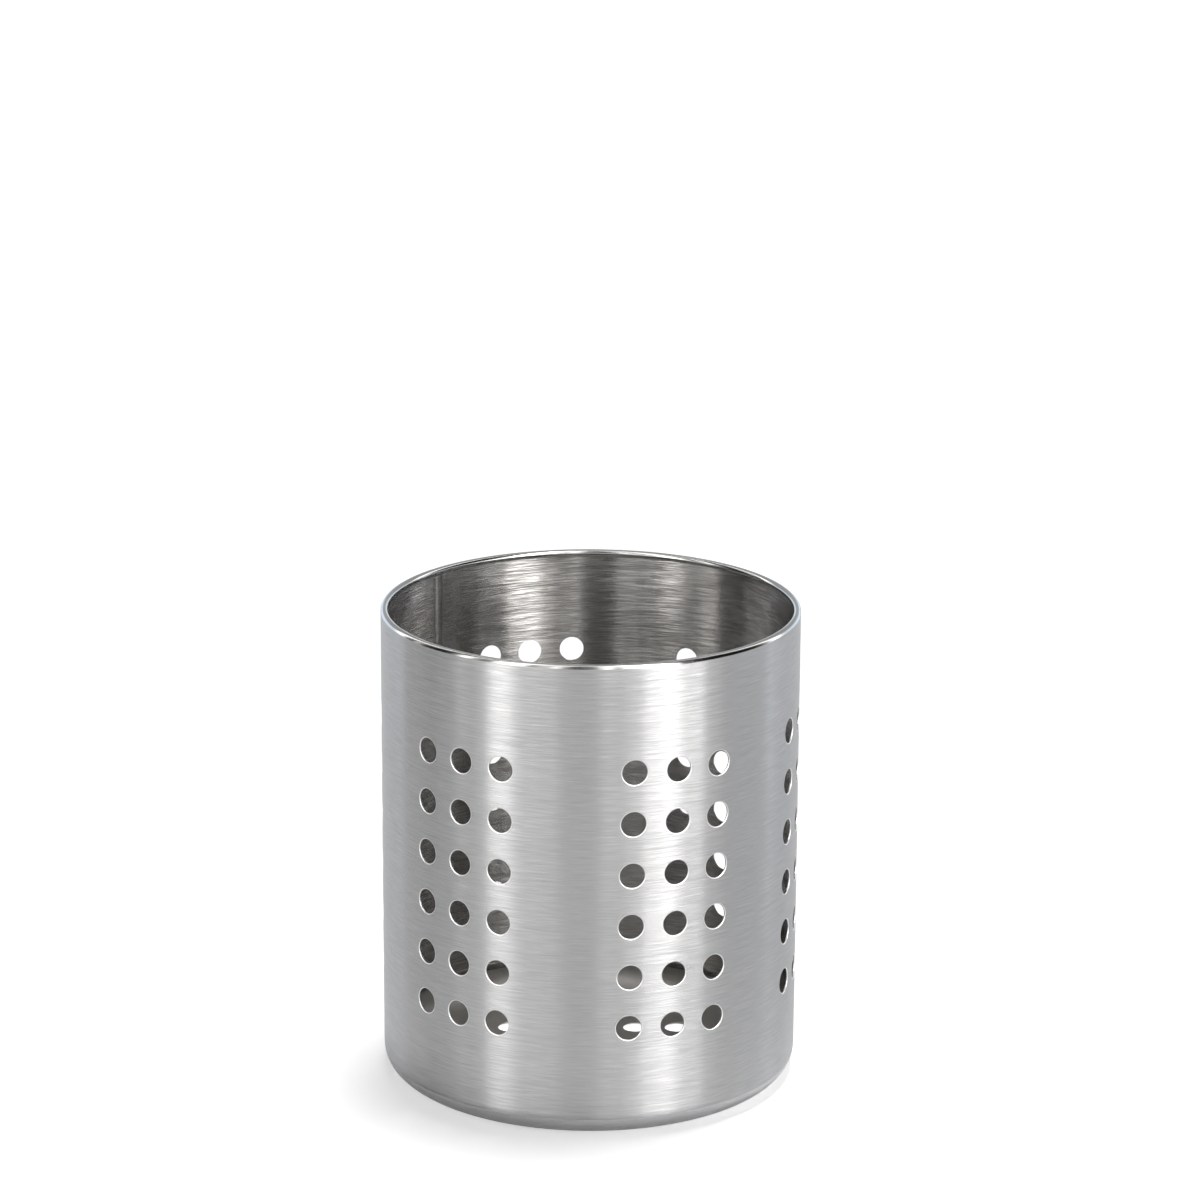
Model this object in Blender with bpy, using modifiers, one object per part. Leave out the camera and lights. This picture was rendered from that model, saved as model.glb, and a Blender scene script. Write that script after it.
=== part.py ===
# Perforated steel utensil holder, free-standing and open at the top.
# A sheet is pierced, rolled into a tube and curled inward at the lip. A weld runs up
# its side, and a second weld joins its foot to a pressed base pan with drain holes.
# Metres, +Z up. The origin is the middle of the underside. Angles round the holder are
# measured from -Y, the side that faces the viewer, and grow towards +X.

import math

import bmesh
import bpy
from mathutils import Matrix, Vector

# Whole holder
OUTER_DIAMETER = 0.120
HOLDER_HEIGHT = 0.139

# Wall sheet and the lip curled from it
WALL_SHEET = 0.0005
LIP_BEAD_DIAMETER = 0.0022
LIP_CURL_ANGLE = 275.0

# Groups of holes in the wall, pierced one group at a time and each a little askew
HOLE_DIAMETER = 0.0072
HOLE_COLUMNS = 3
HOLE_ROWS = 6
HOLE_COLUMN_SPACING = 0.0129
HOLE_ROW_SPACING = 0.0150
LOWEST_HOLE_HEIGHT = 0.0327
GROUP_ANGLES = (-99.5, -37.3, 23.6, 81.8, 138.1, 197.2)
GROUP_SKEW = 1.0
GROUP_DROP = 0.0008
GROUP_DROP_SHARES = (0, 0, 0, 0, 1, 0)

# Weld up the side of the wall, ground flush outside and left proud inside
SIDE_WELD_ANGLE = -131.0
SIDE_WELD_WIDTH = 0.0012
SIDE_WELD_CAP_WIDTH = 0.0036
WELD_CAP_HEIGHT = 0.0004

# Weld round the foot of the wall, where it meets the base pan
BASE_WELD_HEIGHT = 0.0009

# Base pan
PAN_SHEET = 0.0005
CORNER_RADIUS = 0.0070
PAN_RIM_ABOVE_CORNER = 0.0012
STANDING_RING_WIDTH = 0.0080
PANEL_RISE = 0.0004
PANEL_RAMP_WIDTH = 0.0020

# Drain holes in a grid on the raised panel, pierced a little off its middle
DRAIN_DIAMETER = 0.0072
DRAIN_COLUMNS = 5
DRAIN_ROWS = 4
DRAIN_COLUMN_SPACING = 0.01245
DRAIN_ROW_SPACING = 0.0150
DRAIN_GRID_SHIFT = 0.0015
DRAIN_GRID_TURN = 0.5

# Clearance between pieces that touch, and how far a cut runs past what it cuts
SEAT_GAP = 0.0003
CUT_OVERRUN = 0.0010
MERGE_DISTANCE = 0.00001

# Counts of facets
RING_STEPS = 64
LIP_STEPS = 8
CORNER_STEPS = 5
HOLE_SIDES = 14
DRAIN_SIDES = 14
CAP_STEPS = 4

# Shading: edges steeper than this stay crisp
SHARP_ANGLE = 35.0

# Heights and radii that follow from the sizes above
OUTER_RADIUS = OUTER_DIAMETER / 2
WALL_INNER_RADIUS = OUTER_RADIUS - WALL_SHEET
PAN_RIM_HEIGHT = CORNER_RADIUS + PAN_RIM_ABOVE_CORNER
BASE_WELD_BOTTOM = PAN_RIM_HEIGHT + SEAT_GAP
WALL_FOOT_HEIGHT = BASE_WELD_BOTTOM + BASE_WELD_HEIGHT + SEAT_GAP
SLOT_TOP_HEIGHT = HOLDER_HEIGHT - LIP_BEAD_DIAMETER - SEAT_GAP
GROUP_MIDDLE_HEIGHT = LOWEST_HOLE_HEIGHT + HOLE_ROW_SPACING * (HOLE_ROWS - 1) / 2


def make_collection(name):
    collection = bpy.data.collections.new(name)
    bpy.context.scene.collection.children.link(collection)
    return collection


def make_material(name, color, roughness, metallic):
    material = bpy.data.materials.new(name)
    material.use_nodes = True
    shader = material.node_tree.nodes["Principled BSDF"]
    shader.inputs["Base Color"].default_value = (*color, 1.0)
    shader.inputs["Roughness"].default_value = roughness
    shader.inputs["Metallic"].default_value = metallic
    return material


def make_object(name, data, collection, material=None):
    piece = bpy.data.objects.new(name, data)
    collection.objects.link(piece)
    if material:
        data.materials.append(material)
    return piece


def arc(center, radius, start, end, steps):
    """Points of an arc in the plane of a profile, with both its ends."""
    points = []
    for step in range(steps + 1):
        angle = math.radians(start + (end - start) * step / steps)
        points.append((center[0] + radius * math.cos(angle), center[1] + radius * math.sin(angle)))
    return points


def turned(name, profile, closed, collection, material):
    """Piece turned about Z from a profile of radius and height."""
    mesh = bpy.data.meshes.new(name)
    points = [(radius, 0, height) for radius, height in profile]
    edges = [(i, i + 1) for i in range(len(points) - 1)]
    if closed:
        edges.append((len(points) - 1, 0))
    mesh.from_pydata(points, edges, [])
    piece = make_object(name, mesh, collection, material)
    screw = piece.modifiers.new("Turn", "SCREW")
    screw.steps = RING_STEPS
    screw.render_steps = RING_STEPS
    screw.use_merge_vertices = True
    screw.merge_threshold = MERGE_DISTANCE
    return piece


def make_cutter(name, mesh, collection):
    cutter = make_object(name, mesh, collection)
    cutter.hide_render = True
    cutter.display_type = "WIRE"
    return cutter


def punches(name, places, diameter, length, sides, collection):
    """One cutter made of separate round punches, each along Z of its own place."""
    shape = bmesh.new()
    for place in places:
        bmesh.ops.create_cone(
            shape, cap_ends=True, segments=sides,
            radius1=diameter / 2, radius2=diameter / 2, depth=length, matrix=place)
    mesh = bpy.data.meshes.new(name)
    shape.to_mesh(mesh)
    shape.free()
    return make_cutter(name, mesh, collection)


def cut(piece, cutter):
    boolean = piece.modifiers.new(cutter.name, "BOOLEAN")
    boolean.operation = "DIFFERENCE"
    boolean.solver = "EXACT"
    boolean.object = cutter


def bake(piece):
    """Apply the modifiers and shade the round faces smooth."""
    bpy.context.view_layer.update()
    depsgraph = bpy.context.evaluated_depsgraph_get()
    mesh = bpy.data.meshes.new_from_object(piece.evaluated_get(depsgraph))
    mesh.name = piece.name
    piece.modifiers.clear()
    piece.data = mesh
    mesh.shade_smooth()
    mesh.set_sharp_from_angle(angle=math.radians(SHARP_ANGLE))


def facing(angle):
    """Turn about Z that brings -Y to an angle round the holder."""
    return Matrix.Rotation(math.radians(angle), 4, "Z")


def wall_profile():
    bead_radius = LIP_BEAD_DIAMETER / 2
    center = (OUTER_RADIUS - bead_radius, HOLDER_HEIGHT - bead_radius)
    inside = arc(center, bead_radius - WALL_SHEET, 0, LIP_CURL_ANGLE, LIP_STEPS)
    outside = arc(center, bead_radius, LIP_CURL_ANGLE, 0, LIP_STEPS)
    foot = [(OUTER_RADIUS, WALL_FOOT_HEIGHT), (WALL_INNER_RADIUS, WALL_FOOT_HEIGHT)]
    return foot + inside + outside


def hole_places():
    """Each wall hole's place, with Z along the punch."""
    skew = math.radians(GROUP_SKEW)
    lie_flat = Matrix.Rotation(math.radians(90), 4, "X")
    middle_radius = OUTER_RADIUS - WALL_SHEET / 2
    places = []
    for group_angle, drop_share in zip(GROUP_ANGLES, GROUP_DROP_SHARES):
        middle_height = GROUP_MIDDLE_HEIGHT - GROUP_DROP * drop_share
        for column in range(HOLE_COLUMNS):
            across = (column - (HOLE_COLUMNS - 1) / 2) * HOLE_COLUMN_SPACING
            for row in range(HOLE_ROWS):
                up = (row - (HOLE_ROWS - 1) / 2) * HOLE_ROW_SPACING
                along = across * math.cos(skew) + up * math.sin(skew)
                rise = up * math.cos(skew) - across * math.sin(skew)
                angle = group_angle + math.degrees(along / OUTER_RADIUS)
                seat = Matrix.Translation((0, -middle_radius, middle_height + rise))
                places.append(facing(angle) @ seat @ lie_flat)
    return places


def make_wall(parts, cutters, material):
    wall = turned("perforated_wall", wall_profile(), True, parts, material)
    punch_length = WALL_SHEET + 2 * CUT_OVERRUN
    cut(wall, punches("wall_punches", hole_places(), HOLE_DIAMETER, punch_length,
                      HOLE_SIDES, cutters))

    # The slot that the side weld fills, open at the foot of the wall
    slot = bmesh.new()
    slot_bottom = WALL_FOOT_HEIGHT - CUT_OVERRUN
    size = Vector((SIDE_WELD_WIDTH + 2 * SEAT_GAP, WALL_SHEET + 2 * CUT_OVERRUN,
                   SLOT_TOP_HEIGHT - slot_bottom))
    seat = Matrix.Translation((0, WALL_SHEET / 2 - OUTER_RADIUS, (SLOT_TOP_HEIGHT + slot_bottom) / 2))
    place = facing(SIDE_WELD_ANGLE) @ seat @ Matrix.Diagonal((*size, 1.0))
    bmesh.ops.create_cube(slot, size=1.0, matrix=place)
    mesh = bpy.data.meshes.new("side_weld_slot")
    slot.to_mesh(mesh)
    slot.free()
    cut(wall, make_cutter("side_weld_slot", mesh, cutters))
    bake(wall)
    return wall


def make_side_weld(parts, material):
    """Weld bead with a stem in the slot and a low rounded cap on the inside."""
    cap_foot = WALL_SHEET + SEAT_GAP
    half_stem = SIDE_WELD_WIDTH / 2
    half_cap = SIDE_WELD_CAP_WIDTH / 2
    outline = [(-half_stem, cap_foot), (-half_stem, 0), (half_stem, 0), (half_stem, cap_foot)]
    for step in range(CAP_STEPS + 1):
        angle = math.pi * step / CAP_STEPS
        outline.append((half_cap * math.cos(angle), cap_foot + WELD_CAP_HEIGHT * math.sin(angle)))

    bottom = WALL_FOOT_HEIGHT
    top = SLOT_TOP_HEIGHT - SEAT_GAP
    curve = bpy.data.curves.new("side_weld", "CURVE")
    curve.dimensions = "2D"
    curve.fill_mode = "BOTH"
    curve.extrude = (top - bottom) / 2
    spline = curve.splines.new("POLY")
    spline.points.add(len(outline) - 1)
    for point, (across, inward) in zip(spline.points, outline):
        point.co = (across, inward, 0, 1)
    spline.use_cyclic_u = True
    weld = make_object("side_weld", curve, parts, material)
    weld.matrix_world = facing(SIDE_WELD_ANGLE) @ Matrix.Translation((0, -OUTER_RADIUS, (top + bottom) / 2))
    return weld


def make_base_weld(parts, material):
    """Ring of weld metal, flush with the outside and proud on the inside."""
    middle = BASE_WELD_BOTTOM + BASE_WELD_HEIGHT / 2
    bulge = []
    for step in range(CAP_STEPS + 1):
        angle = math.pi * step / CAP_STEPS
        bulge.append((WALL_INNER_RADIUS - WELD_CAP_HEIGHT * math.sin(angle),
                      middle - BASE_WELD_HEIGHT / 2 * math.cos(angle)))
    outside = [(OUTER_RADIUS, BASE_WELD_BOTTOM + BASE_WELD_HEIGHT), (OUTER_RADIUS, BASE_WELD_BOTTOM)]
    weld = turned("base_weld", outside + bulge, True, parts, material)
    bake(weld)
    return weld


def pan_profile():
    corner = (OUTER_RADIUS - CORNER_RADIUS, CORNER_RADIUS)
    ring_inside = corner[0] - STANDING_RING_WIDTH
    panel = ring_inside - PANEL_RAMP_WIDTH
    upper = [(0, PANEL_RISE + PAN_SHEET), (panel, PANEL_RISE + PAN_SHEET), (ring_inside, PAN_SHEET)]
    upper += arc(corner, CORNER_RADIUS - PAN_SHEET, -90, 0, CORNER_STEPS)
    rim = [(OUTER_RADIUS - PAN_SHEET, PAN_RIM_HEIGHT), (OUTER_RADIUS, PAN_RIM_HEIGHT)]
    lower = arc(corner, CORNER_RADIUS, 0, -90, CORNER_STEPS)
    lower += [(ring_inside, 0), (panel, PANEL_RISE), (0, PANEL_RISE)]
    return upper + rim + lower


def drain_places():
    places = []
    shift = Matrix.Translation((DRAIN_GRID_SHIFT, 0, PANEL_RISE + PAN_SHEET / 2))
    turn = Matrix.Rotation(math.radians(DRAIN_GRID_TURN), 4, "Z")
    for row in range(DRAIN_ROWS):
        for column in range(DRAIN_COLUMNS):
            x = (column - (DRAIN_COLUMNS - 1) / 2) * DRAIN_COLUMN_SPACING
            y = (row - (DRAIN_ROWS - 1) / 2) * DRAIN_ROW_SPACING
            places.append(shift @ turn @ Matrix.Translation((x, y, 0)))
    return places


def make_pan(parts, cutters, material):
    pan = turned("base_pan", pan_profile(), False, parts, material)
    cut(pan, punches("drain_punches", drain_places(), DRAIN_DIAMETER,
                     PAN_SHEET + 2 * CUT_OVERRUN, DRAIN_SIDES, cutters))
    bake(pan)
    return pan


def main():
    for item in list(bpy.data.objects):
        bpy.data.objects.remove(item, do_unlink=True)
    parts = make_collection("utensil_holder")
    cutters = make_collection("cutters")

    brushed = make_material("brushed_wall", (0.60, 0.60, 0.61), 0.32, 1.0)
    pressed = make_material("pressed_base", (0.56, 0.55, 0.54), 0.36, 1.0)
    side_bead = make_material("side_weld_bead", (0.50, 0.49, 0.47), 0.42, 1.0)
    base_bead = make_material("base_weld_bead", (0.50, 0.49, 0.47), 0.42, 1.0)

    holder = bpy.data.objects.new("holder", None)
    parts.objects.link(holder)
    pieces = [
        make_wall(parts, cutters, brushed),
        make_side_weld(parts, side_bead),
        make_base_weld(parts, base_bead),
        make_pan(parts, cutters, pressed),
    ]
    for piece in pieces:
        piece.parent = holder


main()
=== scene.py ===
import math
from functools import partial

import bpy
import numpy as np
from mathutils import Matrix, Vector


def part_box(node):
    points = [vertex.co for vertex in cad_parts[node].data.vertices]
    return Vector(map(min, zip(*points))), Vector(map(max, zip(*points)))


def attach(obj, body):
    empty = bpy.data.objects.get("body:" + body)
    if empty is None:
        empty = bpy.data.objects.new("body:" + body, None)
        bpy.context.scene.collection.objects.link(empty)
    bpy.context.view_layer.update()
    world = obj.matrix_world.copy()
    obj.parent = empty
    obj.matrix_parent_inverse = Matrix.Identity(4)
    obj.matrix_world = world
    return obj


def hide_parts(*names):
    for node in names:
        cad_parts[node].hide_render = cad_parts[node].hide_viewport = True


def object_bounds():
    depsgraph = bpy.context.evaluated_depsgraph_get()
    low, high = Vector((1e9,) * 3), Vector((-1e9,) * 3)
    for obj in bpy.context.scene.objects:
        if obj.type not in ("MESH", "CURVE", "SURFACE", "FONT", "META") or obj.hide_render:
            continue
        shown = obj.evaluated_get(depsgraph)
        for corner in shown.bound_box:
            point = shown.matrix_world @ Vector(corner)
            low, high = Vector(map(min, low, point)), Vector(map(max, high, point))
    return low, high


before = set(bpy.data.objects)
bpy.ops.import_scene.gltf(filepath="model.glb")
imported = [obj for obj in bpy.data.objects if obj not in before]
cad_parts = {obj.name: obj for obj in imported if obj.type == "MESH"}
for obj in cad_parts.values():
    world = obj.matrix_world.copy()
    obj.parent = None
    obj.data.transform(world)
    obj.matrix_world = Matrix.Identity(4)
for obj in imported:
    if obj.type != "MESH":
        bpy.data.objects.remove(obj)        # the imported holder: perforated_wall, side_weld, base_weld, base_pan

cadLow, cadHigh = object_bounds()
wallLow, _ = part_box("perforated_wall")
_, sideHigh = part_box("side_weld")
_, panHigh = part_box("base_pan")
scene = bpy.context.scene
print("frame loaded")

# Angles round the holder are measured from -Y, where the camera stands, and grow towards +X.
# A sheet is first laid out flat: x along its outer face, z up, y into its thickness.
holderValues = {
    "outerRadius": round((cadHigh.x - cadLow.x) / 2, 6),
    "sheet": 0.0005,
    "beadRadius": 0.0011,        # of the curled lip
    "curlAngle": 275.0,
    "footHeight": round(wallLow.z, 6),
    "topHeight": round(cadHigh.z, 6),
    "rimHeight": round(panHigh.z, 6),        # top edge of the base pan
    "weldTop": round(sideHigh.z, 6),
    "weldClearance": 0.0003,        # over the top of the side weld
    "seamAngle": -131.0,
    "seamGap": 0.00002,        # hairline between a weld and what it joins
    "mergeDistance": 0.00001,
    "creaseAngle": 60.0,        # edges steeper than this stay crisp
    "weldCreaseAngle": 50.0,
}
slotTop = holderValues["weldTop"] + holderValues["weldClearance"]
tiny = 1e-9
outsideFinish, insideFinish, edgeFinish, accentFinish, cutFinish = range(5)


# Shader and node helpers

def newMaterial(name):
    material = bpy.data.materials.new(name)
    material.use_nodes = True
    tree = material.node_tree
    return material, tree, tree.nodes["Principled BSDF"]


# Links a node's inputs to other sockets, or sets them to plain values
def fill(tree, node, inputs):
    for socket, value in dict(inputs).items():
        if isinstance(value, bpy.types.NodeSocket):
            tree.links.new(value, node.inputs[socket])
        else:
            node.inputs[socket].default_value = value


def addNode(tree, kind, inputs=(), **settings):
    node = tree.nodes.new(kind)
    for name, value in settings.items():
        setattr(node, name, value)
    fill(tree, node, inputs)
    return node


def compute(tree, operation, *values):
    return addNode(tree, "ShaderNodeMath", enumerate(values), operation=operation).outputs[0]


def ramp(tree, value, fromLow, fromHigh, toLow, toHigh, smooth=False):
    node = addNode(tree, "ShaderNodeMapRange", {
        "Value": value, "From Min": fromLow, "From Max": fromHigh, "To Min": toLow, "To Max": toHigh})
    if smooth:
        node.interpolation_type = "SMOOTHSTEP"
    return node.outputs["Result"]


noiseValues = {
    "roughness": 0.6, "low": 0.3, "high": 0.7,        # most of a noise lies from low to high
    "hazeDetail": 3.0, "hazeSeed": 0.67, "mottleDetail": 4.0, "mottleSeed": 0.19,
}


def stretchedNoise(tree, scale, detail, seed, turn=(0.0, 0.0, 0.0)):
    place = addNode(tree, "ShaderNodeTexCoord")
    turned = addNode(tree, "ShaderNodeMapping", {"Vector": place.outputs["Object"], "Rotation": turn})
    mapping = addNode(tree, "ShaderNodeMapping", {
        "Vector": turned.outputs[0], "Location": (seed, seed, seed), "Scale": scale})
    noise = addNode(tree, "ShaderNodeTexNoise", {
        "Vector": mapping.outputs[0], "Scale": 1.0, "Detail": detail, "Roughness": noiseValues["roughness"]})
    return noise.outputs["Fac"]


# A noise spread from one value to another
def spread(tree, noise, low, high):
    return ramp(tree, noise, noiseValues["low"], noiseValues["high"], low, high)


# A noise as a swing to both sides of zero
def swing(tree, noise, amount):
    return ramp(tree, noise, 0.0, 1.0, -amount / 2, amount / 2)


def blendColors(tree, factor, first, second):
    inputs = {0: factor, 6: (*first, 1.0), 7: (*second, 1.0)}
    return addNode(tree, "ShaderNodeMix", inputs, data_type="RGBA").outputs[2]


# Steel is brushed round the holder's axis, which draws highlights out across the brush lines
def brushAround(tree, shader, anisotropic):
    add = partial(addNode, tree)
    place = add("ShaderNodeTexCoord").outputs["Object"]
    around = add("ShaderNodeVectorMath", {0: (0.0, 0.0, 1.0), 1: place}, operation="CROSS_PRODUCT")
    turned = add("ShaderNodeVectorTransform", {"Vector": around.outputs[0]},
                 vector_type="VECTOR", convert_from="OBJECT", convert_to="WORLD")
    normal = add("ShaderNodeNewGeometry").outputs["Normal"]
    across = add("ShaderNodeVectorMath", {0: turned.outputs[0], 1: normal}, operation="CROSS_PRODUCT")
    fill(tree, shader, {"Tangent": across.outputs[0], "Anisotropic": anisotropic})


# The normal, tilted up or down and leaned sideways by the brush lines
def brushedNormal(tree, tilt, lean):
    add = partial(addNode, tree)
    normal = add("ShaderNodeNewGeometry").outputs["Normal"]
    sideways = add("ShaderNodeVectorMath", {0: normal, 1: (0.0, 0.0, 1.0)}, operation="CROSS_PRODUCT")
    leaned = add("ShaderNodeVectorMath", {
        0: sideways.outputs[0], 1: lean, 2: normal}, operation="MULTIPLY_ADD")
    upright = add("ShaderNodeCombineXYZ", {"Z": tilt})
    tilted = add("ShaderNodeVectorMath", {0: leaned.outputs[0], 1: upright.outputs[0]})
    return add("ShaderNodeVectorMath", {0: tilted.outputs[0]}, operation="NORMALIZE").outputs[0]


# Each layer of brush lines: its noise's scale, detail and seed, its turn in degrees, how far it tilts
# and leans the normal, and its share in where the paler colour shows
brushedValues = {
    "color": (0.463, 0.464, 0.471), "paleColor": (0.598, 0.599, 0.605), "paleFrom": 0.3, "paleTo": 0.7,
    "roughness": 0.25, "anisotropic": 1.0,
    "layers": (
        ((60.0, 60.0, 6000.0), 3.0, 0.37, 0.0, 0.45, 0.0, 0.0),        # grain
        ((130.0, 130.0, 4400.0), 2.0, 0.81, 0.0, 0.035, 0.004, 1.0),        # long lines
    ),
}
insideValues = {
    "color": (0.303, 0.295, 0.286), "paleColor": (0.565, 0.557, 0.549), "paleFrom": 0.5, "paleTo": 0.8,
    "roughness": 0.27, "anisotropic": 1.0,
    "layers": (
        ((90.0, 90.0, 6000.0), 3.0, 0.53, 0.0, 0.6, 0.0, 0.0),        # grain
        ((120.0, 120.0, 4600.0), 2.0, 0.29, 2.0, 0.34, 0.06, 1.0),        # scratches
        ((150.0, 150.0, 4000.0), 2.0, 0.71, -6.0, 0.34, 0.05, 0.0),        # slanting scratches
        ((26.0, 26.0, 60.0), 2.0, 0.11, 0.0, 0.0, 0.0, 0.3),        # broad patches
    ),
}


def makeBrushed(name, values):
    material, tree, shader = newMaterial(name)
    calc = partial(compute, tree)
    tilt, lean, pale = 0.0, 0.0, 0.0
    for scale, detail, seed, turn, tiltAmount, leanAmount, paleShare in values["layers"]:
        angle = math.radians(turn)
        noise = stretchedNoise(tree, scale, detail, seed, (angle, angle, 0.0))
        tilt = calc("ADD", tilt, swing(tree, noise, tiltAmount))
        lean = calc("ADD", lean, swing(tree, noise, leanAmount))
        pale = calc("MULTIPLY_ADD", noise, paleShare, pale)
    share = ramp(tree, pale, values["paleFrom"], values["paleTo"], 0.0, 1.0)
    color = blendColors(tree, share, values["color"], values["paleColor"])
    fill(tree, shader, {
        "Base Color": color, "Normal": brushedNormal(tree, tilt, lean), "Metallic": 1.0,
        "Roughness": values["roughness"]})
    brushAround(tree, shader, values["anisotropic"])
    return material


edgeValues = {"color": (0.86, 0.86, 0.86), "roughness": (0.36, 0.44), "haze": (500.0, 500.0, 900.0)}
lipValues = {
    "color": (0.50, 0.50, 0.495), "roughness": (0.14, 0.19), "haze": (300.0, 300.0, 2000.0),
    "flatLift": 0.55, "flatEdge": 0.0001,
}


# Where the lip faces outwards its normal points up by at least the lift, as on the narrow flat
# that polishing leaves along it
def flattenedNormal(tree, lift, edge):
    add = partial(addNode, tree)
    normal = add("ShaderNodeNewGeometry").outputs["Normal"]
    place = add("ShaderNodeTexCoord").outputs["Object"]
    level = add("ShaderNodeVectorMath", {0: place, 1: (1.0, 1.0, 0.0)}, operation="MULTIPLY")
    facing = add("ShaderNodeVectorMath", {0: level.outputs[0], 1: normal}, operation="DOT_PRODUCT")
    least = add("ShaderNodeCombineXYZ", {
        "X": -1.0, "Y": -1.0, "Z": ramp(tree, facing.outputs["Value"], -edge, edge, -1.0, lift)})
    lifted = add("ShaderNodeVectorMath", {0: normal, 1: least.outputs[0]}, operation="MAXIMUM")
    return add("ShaderNodeVectorMath", {0: lifted.outputs[0]}, operation="NORMALIZE").outputs[0]


def makePolished(name, values):
    material, tree, shader = newMaterial(name)
    haze = stretchedNoise(tree, values["haze"], noiseValues["hazeDetail"], noiseValues["hazeSeed"])
    fill(tree, shader, {
        "Base Color": (*values["color"], 1.0), "Metallic": 1.0,
        "Roughness": spread(tree, haze, *values["roughness"])})
    if "flatLift" in values:
        fill(tree, shader, {"Normal": flattenedNormal(tree, values["flatLift"], values["flatEdge"])})
    return material


weldValues = {
    "color": (0.09, 0.088, 0.086), "paleColor": (0.29, 0.285, 0.28), "roughness": (0.4, 0.5),
    "mottle": (700.0, 700.0, 900.0), "bump": 0.6, "bumpHeight": 0.00006,
}
panInsideValues = {
    "color": (0.33, 0.322, 0.314), "paleColor": (0.39, 0.38, 0.372), "roughness": (0.5, 0.6),
    "mottle": (300.0, 300.0, 300.0), "bump": 0.25, "bumpHeight": 0.00002,
}
cornerValues = {
    "color": (0.64, 0.645, 0.655), "paleColor": (0.70, 0.705, 0.715), "roughness": (0.4, 0.46),
    "mottle": (220.0, 220.0, 900.0), "bump": 0.1, "bumpHeight": 0.00001,
}


def makeSatin(name, values):
    material, tree, shader = newMaterial(name)
    mottle = stretchedNoise(tree, values["mottle"], noiseValues["mottleDetail"], noiseValues["mottleSeed"])
    bump = addNode(tree, "ShaderNodeBump", {
        "Strength": values["bump"], "Distance": values["bumpHeight"], "Height": mottle})
    fill(tree, shader, {
        "Base Color": blendColors(tree, mottle, values["color"], values["paleColor"]), "Metallic": 1.0,
        "Roughness": spread(tree, mottle, *values["roughness"]), "Normal": bump.outputs[0]})
    return material


brushedSteel = makeBrushed("brushedSteel", brushedValues)
innerSteel = makeBrushed("innerSteel", insideValues)
edgeSteel = makePolished("edgeSteel", edgeValues)
lipSteel = makePolished("lipSteel", lipValues)
weldSteel = makeSatin("weldSteel", weldValues)
panSteel = makeSatin("panSteel", panInsideValues)
cornerSteel = makeSatin("cornerSteel", cornerValues)
print("materials made")


# Node trees that pierce, stack and roll

def newTree(name, inputs):
    tree = bpy.data.node_groups.new(name, "GeometryNodeTree")
    tree.is_modifier = True
    face = tree.interface
    face.new_socket("Sheet", in_out="INPUT", socket_type="NodeSocketGeometry")
    for label, kind in inputs.items():
        face.new_socket(label, in_out="INPUT", socket_type="NodeSocket" + kind)
    face.new_socket("Result", in_out="OUTPUT", socket_type="NodeSocketGeometry")
    start = tree.nodes.new("NodeGroupInput").outputs
    end = tree.nodes.new("NodeGroupOutput").inputs
    return tree, start, end


materialInputs = {label + " material": "Material" for label in ("Outside", "Inside", "Edge", "Accent")}


# The end of every tree: instances made real and a material for each finish. Cut faces take the outside's
def finishWithMaterials(tree, given, made, geometry):
    add = partial(addNode, tree)
    real = add("GeometryNodeRealizeInstances", {"Geometry": geometry}).outputs[0]
    finish = add("GeometryNodeInputNamedAttribute", {"Name": "finish"}, data_type="INT")
    shown = add("GeometryNodeSetMaterial", {
        "Geometry": real, "Material": given["Outside material"]}).outputs[0]
    for index, label in enumerate(("Inside material", "Edge material", "Accent material"), 1):
        chosen = add("FunctionNodeCompare", {2: finish.outputs[0], 3: index},
                     data_type="INT", operation="EQUAL")
        shown = add("GeometryNodeSetMaterial", {
            "Geometry": shown, "Selection": chosen.outputs[0], "Material": given[label]}).outputs[0]
    tree.links.new(shown, made[0])


# Joins new pieces to the sheet, and merges the corners that meet
def joinToSheet(tree, given, geometry):
    joined = tree.nodes.new("GeometryNodeJoinGeometry")
    tree.links.new(given["Sheet"], joined.inputs[0])
    tree.links.new(geometry, joined.inputs[0])
    return addNode(tree, "GeometryNodeMergeByDistance", {
        "Geometry": joined.outputs[0], "Distance": given["Merge distance"]}).outputs[0]


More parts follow.
